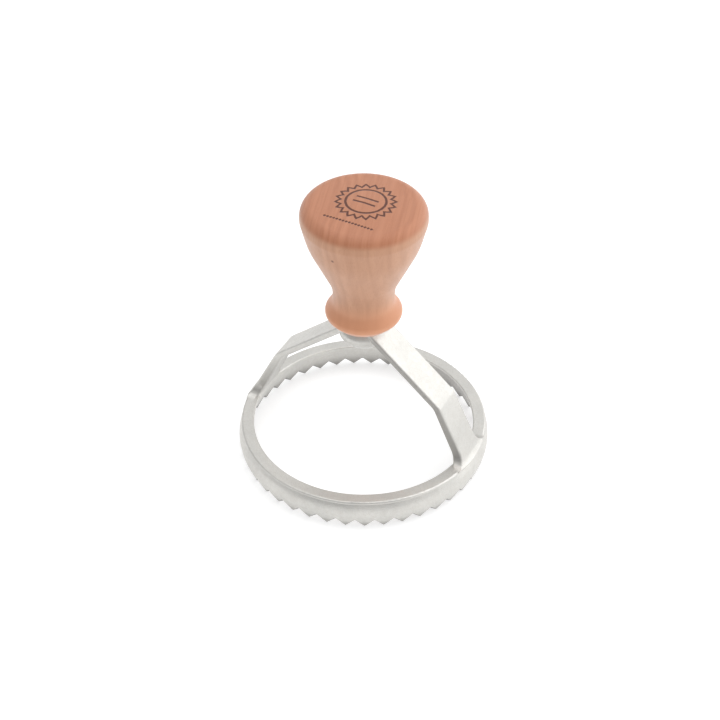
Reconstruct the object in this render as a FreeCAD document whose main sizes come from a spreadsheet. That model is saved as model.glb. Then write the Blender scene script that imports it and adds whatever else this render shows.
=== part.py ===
import FreeCAD, Part
import math
import os
import Sketcher

# A round pastry cutter stamp: a cast ring with a serrated lower edge, a bent strap bridge over it
# and a turned wooden palm knob, held on by one pan-head screw that comes up through the bridge.
# Millimetres, +Z up. The origin is the centre of the ring, in the plane of the tooth tips.
# The bridge spans the ring along X.

TOOTH_COUNT = 41
TIP_RADIUS = 38.4
TIP_FLAT = 0.3


def half_mouth(root, mouth):
    """Half the width of a V notch at its mouth, so that it leaves a small flat on each tooth tip."""
    half_width_at_tips = math.pi * TIP_RADIUS / TOOTH_COUNT - TIP_FLAT / 2
    return half_width_at_tips * (mouth - root) / (TIP_RADIUS - root)


DIMENSIONS = {
    # ring section
    "bore_radius": 35.0,
    "ring_height": 10.1,
    "bore_edge_rounding": 0.35,
    "lip_radius": 39.0,
    "lip_rounding": 0.65,
    "lip_foot_height": 9.35,
    "crease_radius": 38.55,
    "crease_height": 9.1,
    "rim_radius": 40.7,
    "rim_height": 5.7,
    "rim_rounding": 7.5,
    "outer_tip_radius": TIP_RADIUS + 0.12,
    "inner_tip_radius": TIP_RADIUS - 0.12,
    "bevel_height": 9.2,
    # teeth: the notch between two teeth is cut once from outside and once from inside
    "tooth_count": TOOTH_COUNT,
    "notch_azimuth": 3.7,
    "outer_notch_root": 36.1,
    "outer_notch_mouth": 42.0,
    "outer_notch_half_mouth": half_mouth(36.1, 42.0),
    "inner_notch_root": 40.7,
    "inner_notch_mouth": 33.0,
    "inner_notch_half_mouth": half_mouth(40.7, 33.0),
    "notch_root_rounding": 0.5,
    "notch_depth": 6.5,
    # bridge strap, seen from the side
    "crest_half_length": 3.4,
    "crest_height": 50.6,
    "crest_rounding": 2.0,
    "knee_x": 28.8,
    "knee_height": 28.9,
    "crisp_knee_rounding": 2.2,
    "soft_knee_rounding": 6.5,
    "toe_x": 38.0,
    "toe_height": 10.5,
    "toe_rounding": 4.0,
    "foot_outer_x": 39.3,
    "foot_inner_x": 34.9,
    "foot_height": 9.5,
    "inner_knee_x": 26.5,
    "inner_knee_height": 28.1,
    "inner_knee_rounding": 3.5,
    "inner_crest_half_length": 2.6,
    "inner_crest_height": 48.5,
    # bridge strap, seen from the end: the feet spread onto the ring
    "foot_spread": 4.0,
    "foot_half_width": 9.4,
    "strap_half_width": 5.4,
    "cut_half_width": 50.0,
    "cut_top": 60.0,
    "strap_edge_rounding": 0.7,
    # boss under the crest of the bridge, and the seat that the knob stands on
    "seat_radius": 6.6,
    "seat_height": 48.4,
    "cup_radius": 8.3,
    "cup_height": 46.0,
    "cup_rounding": 2.5,
    "boss_end_radius": 5.0,
    "boss_end_height": 42.4,
    "boss_end_rounding": 0.8,
    "clearance_radius": 2.3,
    # screw
    "shank_radius": 2.1,
    "shank_straight": 23.0,
    "shank_length": 26.0,
    "head_radius": 3.6,
    "head_thickness": 1.5,
    "head_rounding": 0.8,
    "recess_half_width": 0.45,
    "recess_half_span": 1.9,
    "recess_depth": 0.9,
    # knob
    "knob_length": 42.3,
    "knob_foot_radius": 9.35,
    "knob_foot_rounding": 0.5,
    "bead_radius": 12.25,
    "bead_height": 3.1,
    "bead_rounding": 1.8,
    "upper_bead_radius": 9.65,
    "upper_bead_height": 6.72,
    "upper_bead_rounding": 4.2,
    "neck_radius": 8.96,
    "neck_height": 11.84,
    "neck_rounding": 13.1,
    "bowl_radius": 16.77,
    "bowl_height": 28.62,
    "bowl_rounding": 30.3,
    "brim_radius": 18.8,
    "brim_height": 36.83,
    "brim_rounding": 3.2,
    "crown_radius": 18.65,
    "crown_height": 41.4,
    "crown_rounding": 3.6,
}
bite = DIMENSIONS["shank_length"] - DIMENSIONS["crest_height"] + DIMENSIONS["boss_end_height"]
point = DIMENSIONS["shank_length"] - DIMENSIONS["shank_straight"]
DIMENSIONS["pilot_depth"] = bite
DIMENSIONS["pilot_straight"] = bite - point

document = FreeCAD.newDocument("PastryStamp")
sheet = document.addObject("Spreadsheet::Sheet", "sizes")
for row, (alias, value) in enumerate(DIMENSIONS.items(), start=1):
    sheet.set(f"A{row}", alias)
    sheet.set(f"B{row}", str(value))
    sheet.setAlias(f"B{row}", alias)
document.recompute()


def make_body(label):
    """An empty body whose label is the piece's name."""
    body = document.addObject("PartDesign::Body", label)
    body.Label = label
    body.Placement = FreeCAD.Placement()
    return body


def origin_feature(body, role):
    """One of the body's own origin planes or axes."""
    return next(item for item in body.Origin.OriginFeatures if item.Role == role)


def make_sketch(body, name, role):
    """A sketch on one of the body's origin planes."""
    sketch = body.newObject("Sketcher::SketchObject", name)
    sketch.AttachmentSupport = (origin_feature(body, role), [""])
    sketch.MapMode = "FlatFace"
    return sketch


def start_value(value):
    """A corner's coordinate as a number: 0, a cell's alias, or an alias after a minus sign."""
    if value == 0:
        return 0.0
    if value.startswith("-"):
        return -DIMENSIONS[value[1:]]
    return DIMENSIONS[value]


def bind(sketch, constraint, alias):
    """Add a constraint whose value follows one cell of the sheet."""
    index = sketch.addConstraint(constraint)
    sketch.renameConstraint(index, f"{alias}_{index}")
    sketch.setExpression(f"Constraints.{alias}_{index}", f"sizes.{alias}")


def hold_corner(sketch, side, value, kind, axis):
    """Hold the start of one side on an axis, or at a bound distance from it."""
    if value == 0:
        sketch.addConstraint(Sketcher.Constraint("PointOnObject", side, 1, axis))
        return
    size = abs(start_value(value))
    if value.startswith("-"):
        bind(sketch, Sketcher.Constraint(kind, side, 1, -1, 1, size), value[1:])
    else:
        bind(sketch, Sketcher.Constraint(kind, -1, 1, side, 1, size), value)


def draw_outline(sketch, corners):
    """A closed outline of straight sides. Each corner is (x, y) or (x, y, rounding), by alias."""
    count = len(corners)
    points = [FreeCAD.Vector(start_value(c[0]), start_value(c[1]), 0) for c in corners]
    first = sketch.GeometryCount
    for i in range(count):
        sketch.addGeometry(Part.LineSegment(points[i], points[(i + 1) % count]), False)
    for i in range(count):
        following = first + (i + 1) % count
        sketch.addConstraint(Sketcher.Constraint("Coincident", first + i, 2, following, 1))
    for i, corner in enumerate(corners):
        hold_corner(sketch, first + i, corner[0], "DistanceX", -2)
        hold_corner(sketch, first + i, corner[1], "DistanceY", -1)
    for i, corner in enumerate(corners):
        if len(corner) == 3:
            arc = sketch.GeometryCount
            sketch.fillet(first + i, 1, DIMENSIONS[corner[2]], True, True)
            bind(sketch, Sketcher.Constraint("Radius", arc, DIMENSIONS[corner[2]]), corner[2])
    document.recompute()


def turn(body, name, corners, kind="PartDesign::Revolution"):
    """Turn an outline of radii and heights fully round the vertical axis, as a solid or a groove."""
    sketch = make_sketch(body, f"{name}Outline", "XZ_Plane")
    draw_outline(sketch, corners)
    feature = body.newObject(kind, name)
    feature.Profile = sketch
    feature.ReferenceAxis = (sketch, ["V_Axis"])
    feature.Angle = 360.0
    document.recompute()
    return feature


def cut_along(body, sketch, name, direction, length):
    """Cut a sketch's outline into the body along a direction, and make sure that it cuts."""
    before = body.Tip.Shape.Volume
    pocket = body.newObject("PartDesign::Pocket", name)
    pocket.Profile = sketch
    pocket.UseCustomVector = True
    pocket.Direction = direction
    pocket.setExpression("Length", f"sizes.{length}")
    document.recompute()
    if pocket.Shape.Volume > before - 0.5:
        raise ValueError(f"{name} cuts nothing")
    return pocket


def left_of(corners):
    """The mirror image of some corners about the vertical axis, in the order that closes them."""
    return [(f"-{corner[0]}",) + tuple(corner[1:]) for corner in reversed(corners)]


# ---------------------------------------------------------------- cutter frame
frame = make_body("cutter_frame")

# The strap: its side outline, as wide as the feet. Only the bend of the right knee is crisp.
crest = [("crest_half_length", "crest_height", "crest_rounding")]
right_knee = [("knee_x", "knee_height", "crisp_knee_rounding")]
left_knee = [("knee_x", "knee_height", "soft_knee_rounding")]
leg = [
    ("toe_x", "toe_height", "toe_rounding"),
    ("foot_outer_x", "foot_height"),
    ("foot_inner_x", "foot_height"),
    ("inner_knee_x", "inner_knee_height", "inner_knee_rounding"),
    ("inner_crest_half_length", "inner_crest_height"),
]
strap_outline = make_sketch(frame, "StrapOutline", "XZ_Plane")
draw_outline(strap_outline, crest + right_knee + leg + left_of(leg) + left_of(left_knee) + left_of(crest))
strap = frame.newObject("PartDesign::Pad", "Strap")
strap.Profile = strap_outline
strap.Midplane = True
strap.setExpression("Length", "sizes.foot_half_width * 2")
document.recompute()

# Each side is cut back to the strap's own width, with a round spread above the feet.
waist_outline = make_sketch(frame, "WaistOutline", "YZ_Plane")
waist_corners = [
    ("strap_half_width", "ring_height", "foot_spread"),
    ("cut_half_width", "ring_height"),
    ("cut_half_width", "cut_top"),
    ("strap_half_width", "cut_top"),
]
draw_outline(waist_outline, waist_corners)
draw_outline(waist_outline, [(f"-{corner[0]}",) + corner[1:] for corner in waist_corners])
waist = frame.newObject("PartDesign::Pocket", "Waist")
waist.Profile = waist_outline
waist.Midplane = True
waist.setExpression("Length", "sizes.foot_outer_x * 2 + 10")
document.recompute()
if waist.Shape.Volume > strap.Shape.Volume * 0.8:
    raise ValueError("the strap's sides aren't cut")

# The long edges of the strap are softly rounded.
long_edges = []
for number, edge in enumerate(waist.Shape.Edges, start=1):
    box = edge.BoundBox
    on_side = box.YLength < 0.01 and abs(abs(box.YMin) - DIMENSIONS["strap_half_width"]) < 0.01
    if on_side and box.ZMin > DIMENSIONS["ring_height"] + 1.0:
        long_edges.append(f"Edge{number}")
soft_edges = frame.newObject("PartDesign::Fillet", "SoftEdges")
soft_edges.Base = (waist, long_edges)
soft_edges.setExpression("Radius", "sizes.strap_edge_rounding")
document.recompute()

# The feet end at the ring's lip.
turn(frame, "FootTrim", [
    ("lip_radius", "foot_height"),
    ("cut_half_width", "foot_height"),
    ("cut_half_width", "toe_height"),
    ("lip_radius", "toe_height"),
], kind="PartDesign::Groove")

# The ring: a fine lip round the top, a crease under it, then a flared outer face that turns in
# to the teeth, and an inner wall that opens downwards to them.
turn(frame, "Ring", [
    ("bore_radius", "bevel_height"),
    ("inner_tip_radius", 0),
    ("outer_tip_radius", 0),
    ("rim_radius", "rim_height", "rim_rounding"),
    ("crease_radius", "crease_height"),
    ("lip_radius", "lip_foot_height"),
    ("lip_radius", "ring_height", "lip_rounding"),
    ("bore_radius", "ring_height", "bore_edge_rounding"),
])

# The boss under the crest: a rounded cup with a flat end, a narrower seat on top for the knob,
# and the screw's hole through both.
turn(frame, "Boss", [
    (0, "boss_end_height"),
    ("boss_end_radius", "boss_end_height", "boss_end_rounding"),
    ("cup_radius", "cup_height", "cup_rounding"),
    ("seat_radius", "seat_height"),
    ("seat_radius", "crest_height"),
    (0, "crest_height"),
])
turn(frame, "ScrewHole", [
    (0, "boss_end_height"),
    ("clearance_radius", "boss_end_height"),
    ("clearance_radius", "crest_height"),
    (0, "crest_height"),
], kind="PartDesign::Groove")

# The teeth: between two of them, one V notch from outside and one from inside, both rising at
# 45 degrees, repeated all round the ring.
azimuth = math.radians(DIMENSIONS["notch_azimuth"])
outward = FreeCAD.Vector(math.cos(azimuth), math.sin(azimuth), 0)
upward = FreeCAD.Vector(0, 0, 1)
for name, lean in (("outer_notch", outward), ("inner_notch", -outward)):
    notch_outline = make_sketch(frame, f"{name}_outline", "XY_Plane")
    draw_outline(notch_outline, [
        (f"{name}_root", 0, "notch_root_rounding"),
        (f"{name}_mouth", f"{name}_half_mouth"),
        (f"{name}_mouth", f"-{name}_half_mouth"),
    ])
    notch_outline.setExpression(
        "AttachmentOffset.Rotation.Angle", "sizes.notch_azimuth * 1 deg")
    notch = cut_along(frame, notch_outline, name, upward + lean, "notch_depth")
    notches = frame.newObject("PartDesign::PolarPattern", f"{name}_pattern")
    notches.Originals = [notch]
    notches.Axis = (origin_feature(frame, "Z_Axis"), [""])
    notches.Angle = 360.0
    notches.setExpression("Occurrences", "sizes.tooth_count")
    frame.Tip = notches
    document.recompute()

# ---------------------------------------------------------------- knob
# A turned palm knob: a bead at its foot, a slim neck, and a bowl that swells to a flat brim.
knob = make_body("handle_knob")
knob.setExpression("Placement.Base.z", "sizes.crest_height")
turn(knob, "Turning", [
    (0, 0),
    ("knob_foot_radius", 0, "knob_foot_rounding"),
    ("bead_radius", "bead_height", "bead_rounding"),
    ("upper_bead_radius", "upper_bead_height", "upper_bead_rounding"),
    ("neck_radius", "neck_height", "neck_rounding"),
    ("bowl_radius", "bowl_height", "bowl_rounding"),
    ("brim_radius", "brim_height", "brim_rounding"),
    ("crown_radius", "crown_height", "crown_rounding"),
    (0, "knob_length"),
])
turn(knob, "PilotHole", [
    (0, 0),
    ("shank_radius", 0),
    ("shank_radius", "pilot_straight"),
    (0, "pilot_depth"),
], kind="PartDesign::Groove")

# ---------------------------------------------------------------- screw
# A pan-head wood screw: its head is under the boss and its shank runs up into the knob.
screw = make_body("handle_screw")
screw.setExpression("Placement.Base.z", "sizes.boss_end_height")
turn(screw, "HeadAndShank", [
    (0, "-head_thickness"),
    ("head_radius", "-head_thickness", "head_rounding"),
    ("head_radius", 0),
    ("shank_radius", 0),
    ("shank_radius", "shank_straight"),
    (0, "shank_length"),
])
for name, half_x, half_y in (
        ("recess_across", "recess_half_span", "recess_half_width"),
        ("recess_along", "recess_half_width", "recess_half_span")):
    recess_outline = make_sketch(screw, f"{name}_outline", "XY_Plane")
    draw_outline(recess_outline, [
        (half_x, half_y),
        (f"-{half_x}", half_y),
        (f"-{half_x}", f"-{half_y}"),
        (half_x, f"-{half_y}"),
    ])
    recess_outline.setExpression("AttachmentOffset.Base.z", "-sizes.head_thickness")
    cut_along(screw, recess_outline, name, upward, "recess_depth")

document.recompute()

# ---------------------------------------------------------------- checks and files
for item in document.Objects:
    if "Invalid" in item.State or "Error" in item.State:
        raise RuntimeError(f"{item.Label} failed: {item.State}")

pieces = [frame, knob, screw]
for piece in pieces:
    shape = piece.Shape
    if shape.isNull() or not shape.isValid() or len(shape.Solids) != 1:
        raise RuntimeError(f"{piece.Label} is not one valid solid")

os.makedirs("parts", exist_ok=True)
for piece in pieces:
    piece.Shape.exportStep(os.path.join("parts", f"{piece.Label}.step"))
    box = piece.Shape.BoundBox
    print(piece.Label, round(piece.Shape.Volume, 1), "mm3, heights", round(box.ZMin, 2), round(box.ZMax, 2))
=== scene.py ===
import math

import bpy
from mathutils import Matrix, Vector


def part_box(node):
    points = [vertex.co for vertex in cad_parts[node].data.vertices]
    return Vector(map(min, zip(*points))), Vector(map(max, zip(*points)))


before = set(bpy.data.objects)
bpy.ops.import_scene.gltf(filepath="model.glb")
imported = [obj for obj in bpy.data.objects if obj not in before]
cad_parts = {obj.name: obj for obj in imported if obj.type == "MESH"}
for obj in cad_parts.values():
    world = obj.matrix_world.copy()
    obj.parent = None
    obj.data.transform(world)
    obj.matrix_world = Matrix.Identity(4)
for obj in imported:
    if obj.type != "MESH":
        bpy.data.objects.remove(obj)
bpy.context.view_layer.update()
MM = 0.001


# ------------------------------------------------------------------ node helpers
class Graph:
    """One material's node tree, with short calls that return output sockets."""

    def __init__(self, name):
        self.material = bpy.data.materials.new(name)
        self.material.use_nodes = True
        self.tree = self.material.node_tree
        self.shader = self.tree.nodes["Principled BSDF"]

    def node(self, kind, **settings):
        item = self.tree.nodes.new(kind)
        for key, value in settings.items():
            setattr(item, key, value)
        return item

    def feed(self, socket, value):
        if isinstance(value, bpy.types.NodeSocket):
            self.tree.links.new(value, socket)
        else:
            socket.default_value = value

    def math(self, operation, first, second=0.0):
        item = self.node("ShaderNodeMath", operation=operation)
        for socket, value in zip(item.inputs, (first, second)):
            self.feed(socket, value)
        return item.outputs[0]

    def times(self, first, *others):
        """The product of several values."""
        for other in others:
            first = self.math("MULTIPLY", first, other)
        return first

    def vector(self, operation, first, second=(0.0, 0.0, 0.0)):
        item = self.node("ShaderNodeVectorMath", operation=operation)
        self.feed(item.inputs[0], first)
        if operation == "SCALE":
            self.feed(item.inputs["Scale"], second)
        else:
            self.feed(item.inputs[1], second)
        return item.outputs["Value" if operation in ("LENGTH", "DOT_PRODUCT") else "Vector"]

    def split(self, vector):
        item = self.node("ShaderNodeSeparateXYZ")
        self.feed(item.inputs[0], vector)
        return item.outputs

    def join(self, x, y, z):
        item = self.node("ShaderNodeCombineXYZ")
        for socket, value in zip(item.inputs, (x, y, z)):
            self.feed(socket, value)
        return item.outputs[0]

    def noise(self, vector, scale, detail=3.0, roughness=0.5):
        item = self.node("ShaderNodeTexNoise")
        self.feed(item.inputs["Vector"], vector)
        item.inputs["Scale"].default_value = scale
        item.inputs["Detail"].default_value = detail
        item.inputs["Roughness"].default_value = roughness
        return item.outputs["Fac"]

    def ramp(self, value, low, high, to_low=0.0, to_high=1.0):
        """A clamped smooth step of a value between two limits."""
        item = self.node("ShaderNodeMapRange", interpolation_type="SMOOTHSTEP")
        self.feed(item.inputs["Value"], value)
        item.inputs["From Min"].default_value = low
        item.inputs["From Max"].default_value = high
        item.inputs["To Min"].default_value = to_low
        item.inputs["To Max"].default_value = to_high
        return item.outputs["Result"]

    def mix(self, amount, first, second, blend="MIX"):
        item = self.node("ShaderNodeMix", data_type="RGBA", blend_type=blend)
        self.feed(item.inputs[0], amount)
        for socket, value in ((item.inputs[6], first), (item.inputs[7], second)):
            self.feed(socket, value if isinstance(value, bpy.types.NodeSocket) else (*value, 1.0))
        return item.outputs[2]

    def bump(self, height, strength, distance, normal=None):
        item = self.node("ShaderNodeBump")
        item.inputs["Strength"].default_value = strength
        item.inputs["Distance"].default_value = distance
        self.feed(item.inputs["Height"], height)
        if normal is not None:
            self.feed(item.inputs["Normal"], normal)
        return item.outputs["Normal"]

    def position(self):
        """The place on the object in millimetres."""
        place = self.node("ShaderNodeTexCoord").outputs["Object"]
        return self.vector("SCALE", place, 1000.0)

    def facing(self):
        """The surface's own direction, split into x, y and z."""
        return self.split(self.node("ShaderNodeNewGeometry").outputs["Normal"])


# ------------------------------------------------------------------ materials
def cast_aluminium():
    """Fine-grained satin casting: light warm grey, with painted shade on the downward faces of the
    teeth, the ring's inner wall, the crease below the lip, the lower arms and the front side of the
    right arm, and a duller tone towards the tips of the teeth."""
    crease_foot = 8.95
    crease_top = 9.42
    crease_softness = 0.17
    crease_radius = 38.2
    wall_radius = 38.3
    wall_top = 9.3
    arm_foot = 10.3
    g = Graph("cast_aluminium")
    place = g.position()
    x, y, z = g.split(place)
    reach = g.vector("LENGTH", g.join(x, y, 0.0))
    _, facing_y, facing_z = g.facing()

    # the cast skin: broad clouds, a faint mottle, a fine grain and bright specks
    cloud = g.noise(place, 0.10, 3.0)
    mottle = g.noise(place, 0.8, 4.0, 0.6)
    grain = g.noise(place, 3.2, 2.0, 0.7)
    speck = g.noise(place, 7.0, 1.0, 0.5)
    colour = g.mix(g.ramp(cloud, 0.3, 0.7), (0.67, 0.66, 0.63), (0.61, 0.605, 0.58))
    colour = g.mix(g.ramp(mottle, 0.3, 0.7, 0.0, 0.12), colour, (0.52, 0.47, 0.40))
    colour = g.mix(g.ramp(grain, 0.35, 0.7, 0.0, 0.25), colour, (0.45, 0.44, 0.42))
    colour = g.mix(g.ramp(speck, 0.55, 0.8, 0.0, 0.4), colour, (0.82, 0.82, 0.80))

    # the teeth: painted shade on their downward faces, and a duller tone towards the tips
    painted_underside_shade = g.times(g.ramp(facing_z, -0.58, -0.3, 0.92, 0.0), g.ramp(z, 6.0, 8.0, 1.0, 0.2))
    colour = g.mix(painted_underside_shade, colour, (0.13, 0.127, 0.12))
    colour = g.mix(g.ramp(z, 0.3, 3.4, 0.5, 0.0), colour, (0.34, 0.33, 0.31))

    # the arms: painted shade on the front side of the right one, and on the lower part of both
    above_ring = g.ramp(z, arm_foot, arm_foot + 1.7)
    painted_front_side_shade = g.times(g.ramp(facing_y, -0.95, -0.6, 1.0, 0.0), g.ramp(x, 2.0, 7.0), above_ring)
    colour = g.mix(g.times(painted_front_side_shade, 0.75), colour, (0.30, 0.29, 0.275))
    # painted shade on the lower part of both arms, stronger on the left one
    painted_lower_arm_shade = g.times(
        g.ramp(z, 20.0, 32.0, 1.0, 0.0), above_ring, g.ramp(x, -10.0, 10.0, 0.55, 0.25))
    colour = g.mix(painted_lower_arm_shade, colour, (0.40, 0.39, 0.37))

    # the ring's inner wall: painted shade, deeper near the teeth and on the side away from the left
    # front
    inner_wall = g.times(
        g.ramp(facing_z, -0.25, -0.12, 1.0, 0.0),
        g.ramp(z, wall_top, wall_top + 0.2, 1.0, 0.0),
        g.ramp(reach, wall_radius, wall_radius + 0.4, 1.0, 0.0))
    far_side = g.vector("DOT_PRODUCT", g.join(x, y, 0.0), (0.77, 0.64, 0.0))
    painted_wall_shade = g.math("ADD", g.ramp(z, 0.5, 6.5, 0.55, 0.0), g.ramp(far_side, 8.0, 32.0, 0.0, 0.45))
    colour = g.mix(g.times(inner_wall, painted_wall_shade), colour, (0.20, 0.19, 0.18))

    # the crease below the lip: painted shade, darkest at the left
    # painted shade along the crease, fading towards the right
    crease = g.times(
        g.ramp(z, crease_foot, crease_foot + crease_softness),
        g.ramp(z, crease_top - crease_softness, crease_top, 1.0, 0.0),
        g.ramp(reach, crease_radius, crease_radius + 0.3),
        g.ramp(x, -30.0, 15.0, 1.0, 0.15))
    colour = g.mix(g.times(crease, 0.8), colour, (0.20, 0.185, 0.165))

    normal = g.bump(grain, 0.5, 0.10 * MM)
    normal = g.bump(mottle, 0.4, 0.20 * MM, normal)
    g.feed(g.shader.inputs["Base Color"], colour)
    g.feed(g.shader.inputs["Roughness"], g.ramp(mottle, 0.3, 0.7, 0.34, 0.44))
    g.feed(g.shader.inputs["Normal"], normal)
    g.shader.inputs["Metallic"].default_value = 0.9
    return g.material


def steel_screw():
    """A dull zinc-plated screw with faint turning marks."""
    g = Graph("screw_steel")
    place = g.position()
    x, y, _ = g.split(place)
    reach = g.vector("LENGTH", g.join(x, y, 0.0))
    rings = g.math("SINE", g.times(reach, 22.0))
    spots = g.noise(place, 1.8, 3.0)
    colour = g.mix(g.ramp(spots, 0.35, 0.65), (0.20, 0.195, 0.18), (0.30, 0.29, 0.27))
    g.feed(g.shader.inputs["Base Color"], colour)
    g.feed(g.shader.inputs["Roughness"], g.ramp(spots, 0.3, 0.7, 0.32, 0.48))
    g.feed(g.shader.inputs["Normal"], g.bump(rings, 0.1, 0.02 * MM))
    g.shader.inputs["Metallic"].default_value = 1.0
    return g.material


def burnt_ornament(g, place, x, y):
    """How burnt the knob's top is, from 0 to 1: a zigzag ring round a plain ring with two bars in it,
    and a row of diamonds in front of them."""
    ring_centre_y = 1.2
    zigzag_radius = 7.3
    zigzag_points = 20
    zigzag_slope = 3.0
    plain_radius = 5.9
    bar_half_gap = 1.2
    bar_half_length = 3.2
    row_distance = 11.2
    row_half_length = 7.6
    y = g.math("SUBTRACT", y, ring_centre_y)
    from_middle_x = g.math("ABSOLUTE", x)
    reach = g.vector("LENGTH", g.join(x, y, 0.0))
    turn = g.math("ARCTAN2", y, x)

    # how far each place is from the nearest line
    point = g.math("PINGPONG", g.times(turn, zigzag_points / (2 * math.pi)), 0.5)
    zigzag_edge = g.math("ADD", zigzag_radius, g.times(point, zigzag_slope))
    zigzag = g.times(g.math("ABSOLUTE", g.math("SUBTRACT", reach, zigzag_edge)), 0.75)
    plain = g.math("ABSOLUTE", g.math("SUBTRACT", reach, plain_radius))
    bars = g.math("ABSOLUTE", g.math("SUBTRACT", g.math("ABSOLUTE", y), bar_half_gap))
    bars = g.math("MAXIMUM", bars, g.math("SUBTRACT", from_middle_x, bar_half_length))
    line = g.math("MINIMUM", g.math("MINIMUM", zigzag, plain), bars)

    # how far each place is from the middle of the nearest diamond
    diamond_x = g.math("SUBTRACT", g.math("PINGPONG", g.math("ADD", x, 1.0), 1.0), 0.5)
    diamond_y = g.math("ADD", y, row_distance)
    diamond = g.math("ADD", g.math("ABSOLUTE", diamond_x), g.math("ABSOLUTE", diamond_y))
    diamond = g.math("MAXIMUM", diamond, g.math("SUBTRACT", from_middle_x, row_half_length))

    ragged = g.times(g.math("SUBTRACT", g.noise(place, 2.5, 3.0), 0.5), 0.30)
    return g.math(
        "MAXIMUM",
        g.ramp(g.math("ADD", line, ragged), 0.24, 0.50, 1.0, 0.0),
        g.ramp(g.math("ADD", diamond, ragged), 0.42, 0.62, 1.0, 0.0))


def beech(foot_height, top_height):
    """Oiled beech, its grain upright: growth rings and a warmer tone on the end grain on top,
    fine pores and rays down the sides, a warmer foot, and a plain burnt ornament on the top."""
    ring_centre = (-66.0, -21.0, 0.0)
    knot_place = (-0.9, -17.8, 83.3)
    g = Graph("beech")
    place = g.position()
    x, y, z = g.split(place)
    above_foot = g.math("SUBTRACT", z, foot_height)
    up = g.facing()[2]

    # growth rings about a centre well outside the knob, then flecks and rays drawn out along the grain
    wander = g.noise(place, 0.05, 2.0)
    ring_reach = g.vector("LENGTH", g.vector("SUBTRACT", g.join(x, y, 0.0), ring_centre))
    growth = g.math("ADD", ring_reach, g.times(wander, 5.0))
    wide = g.noise(g.join(growth, 0.0, 0.0), 0.42, 2.0)
    flecks = g.noise(g.vector("MULTIPLY", place, (1.0, 1.0, 0.10)), 4.2, 2.0, 0.6)
    rays = g.noise(g.vector("MULTIPLY", place, (1.0, 1.0, 0.04)), 0.55, 2.0, 0.5)
    pores = g.noise(place, 3.2, 2.0, 0.7)

    side = g.mix(g.ramp(wide, 0.3, 0.7), (0.585, 0.315, 0.195), (0.52, 0.27, 0.162))
    side = g.mix(g.ramp(rays, 0.40, 0.65, 0.0, 0.30), side, (0.47, 0.24, 0.145))
    side = g.mix(g.ramp(flecks, 0.55, 0.72, 0.0, 0.30), side, (0.40, 0.19, 0.10))
    side = g.mix(g.ramp(above_foot, 4.4, 12.4, 0.75, 0.0), side, (0.73, 0.335, 0.185))
    side = g.mix(g.ramp(above_foot, 0.6, 2.0, 0.6, 0.0), side, (0.62, 0.30, 0.18))
    from_knot = g.vector("LENGTH", g.vector("SUBTRACT", place, knot_place))
    side = g.mix(g.ramp(from_knot, 0.25, 0.6, 0.85, 0.0), side, (0.16, 0.06, 0.03))

    # the end grain soaks up more oil and is warmer; the band round its edge is a little darker
    across = g.vector("DOT_PRODUCT", g.join(x, y, 0.0), (0.955, 0.307, 0.0))
    straight = g.noise(g.join(across, g.times(wander, 3.0), 0.0), 1.1, 3.0, 0.6)
    top = g.mix(g.ramp(wide, 0.3, 0.7), (0.52, 0.225, 0.125), (0.45, 0.185, 0.10))
    top = g.mix(g.ramp(straight, 0.42, 0.68, 0.0, 0.28), top, (0.36, 0.12, 0.05))
    top = g.mix(g.ramp(pores, 0.5, 0.75, 0.0, 0.2), top, (0.60, 0.28, 0.15))
    edge_band = g.times(g.ramp(up, 0.15, 0.35), g.ramp(up, 0.45, 0.9, 1.0, 0.0))
    top = g.mix(g.times(edge_band, 0.08), top, (0.34, 0.115, 0.045))
    end_grain = g.times(g.ramp(up, 0.12, 0.62), g.ramp(above_foot, 15.4, 29.4, 0.15, 1.0))
    colour = g.mix(end_grain, side, top)

    on_top = g.ramp(z, top_height - 1.2, top_height - 0.9)
    burnt = g.times(burnt_ornament(g, place, x, y), on_top)
    colour = g.mix(g.times(burnt, 0.97), colour, (0.085, 0.018, 0.006))

    normal = g.bump(flecks, 0.25, 0.05 * MM)
    normal = g.bump(g.math("SUBTRACT", 1.0, burnt), 0.5, 0.15 * MM, normal)
    g.feed(g.shader.inputs["Base Color"], colour)
    g.feed(g.shader.inputs["Roughness"], g.ramp(flecks, 0.3, 0.7, 0.42, 0.56))
    g.feed(g.shader.inputs["Normal"], normal)
    g.shader.inputs["Specular IOR Level"].default_value = 0.35
    g.shader.inputs["Sheen Weight"].default_value = 0.30
    g.shader.inputs["Sheen Roughness"].default_value = 0.45
    return g.material


def give(node, material):
    """Put one material on a node of the frame."""
    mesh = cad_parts[node].data
    mesh.materials.clear()
    mesh.materials.append(material)


knob_low, knob_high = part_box("handle_knob")
give("cutter_frame", cast_aluminium())
give("handle_screw", steel_screw())
give("handle_knob", beech(knob_low.z / MM, knob_high.z / MM))


# ------------------------------------------------------------------ floor, light, camera
# The camera and the lights stand this far round to the right of the bridge's front.
TURN = Matrix.Rotation(math.radians(27.4), 4, "Z")
FLOOR_REACH = 3.0
LOOK_DOWN = 40.27
CAMERA_PLACE = (-1.14, -381.8, 357.2)
CAMERA_LENS = 80.6
WHITE = (1.0, 1.0, 1.0, 1.0)


def floor_material():
    """A matt white floor that glows a little, so that the shadow on it stays faint."""
    g = Graph("pale_floor")
    cloud = g.noise(g.position(), 0.01, 2.0)
    g.feed(g.shader.inputs["Base Color"], g.mix(cloud, (0.60, 0.60, 0.60), (0.62, 0.62, 0.62)))
    g.shader.inputs["Roughness"].default_value = 0.9
    g.shader.inputs["Specular IOR Level"].default_value = 0.1
    g.shader.inputs["Emission Color"].default_value = WHITE
    g.shader.inputs["Emission Strength"].default_value = 0.56
    return g.material


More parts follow.
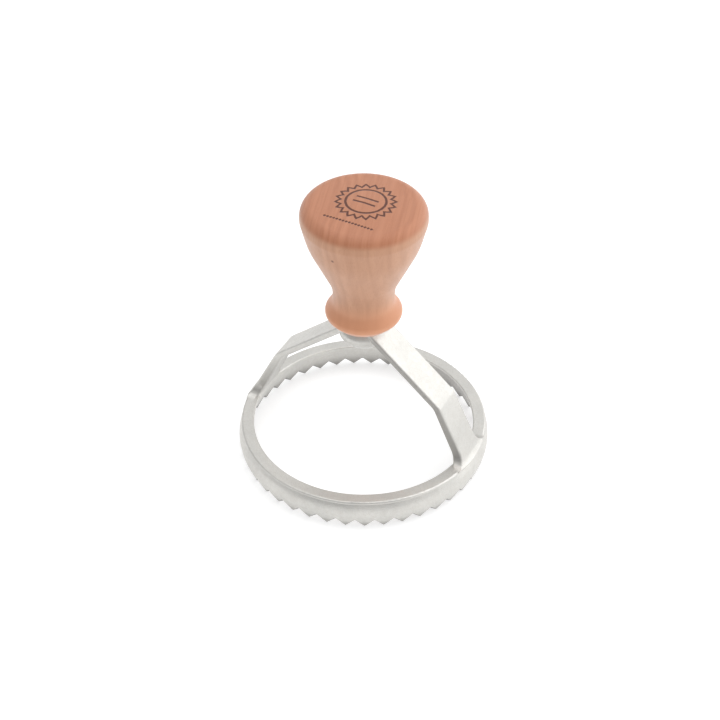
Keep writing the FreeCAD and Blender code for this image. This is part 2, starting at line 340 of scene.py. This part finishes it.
def soft_light(name, place, size, power):
    """A square soft light, placed in the camera's own directions, that looks at the object."""
    data = bpy.data.lights.new(name, "AREA")
    data.shape = "SQUARE"
    data.size = size
    data.energy = power
    light = bpy.data.objects.new(name, data)
    bpy.context.scene.collection.objects.link(light)
    light.location = TURN @ Vector(place)
    aim = Vector((0, 0, 0.04)) - light.location
    light.rotation_euler = aim.to_track_quat("-Z", "Y").to_euler()


floor_mesh = bpy.data.meshes.new("floor")
floor_mesh.from_pydata(
    [(-FLOOR_REACH, -FLOOR_REACH, 0), (FLOOR_REACH, -FLOOR_REACH, 0),
     (FLOOR_REACH, FLOOR_REACH, 0), (-FLOOR_REACH, FLOOR_REACH, 0)],
    [], [(0, 1, 2, 3)])
floor = bpy.data.objects.new("floor", floor_mesh)
bpy.context.scene.collection.objects.link(floor)
floor_mesh.materials.append(floor_material())

soft_light("key", (0.90, 0.25, 0.58), 1.5, 6.5)
soft_light("top", (-0.10, 0.10, 1.20), 1.2, 4.5)

# A plain studio: even white, darker towards the front left and below.
world = bpy.data.worlds.new("studio")
world.use_nodes = True
nodes = world.node_tree.nodes
links = world.node_tree.links
direction = nodes.new("ShaderNodeTexCoord").outputs["Generated"]
along = nodes.new("ShaderNodeVectorMath")
along.operation = "DOT_PRODUCT"
along.inputs[1].default_value = TURN @ Vector((0.72, 0.55, 0.42))
level = nodes.new("ShaderNodeMapRange")
level.inputs["From Min"].default_value = -1.0
level.inputs["To Min"].default_value = 0.42
level.inputs["To Max"].default_value = 0.90
links.new(direction, along.inputs[0])
links.new(along.outputs["Value"], level.inputs["Value"])
links.new(level.outputs["Result"], nodes["Background"].inputs["Strength"])
nodes["Background"].inputs["Color"].default_value = WHITE
bpy.context.scene.world = world

camera_data = bpy.data.cameras.new("camera")
camera_data.lens = CAMERA_LENS
camera_data.sensor_width = 36.0
camera = bpy.data.objects.new("camera", camera_data)
bpy.context.scene.collection.objects.link(camera)
camera.matrix_world = (
    TURN
    @ Matrix.Translation(Vector(CAMERA_PLACE) * MM)
    @ Matrix.Rotation(math.radians(90.0 - LOOK_DOWN), 4, "X"))
bpy.context.scene.camera = camera
bpy.context.scene.view_settings.view_transform = "Standard"
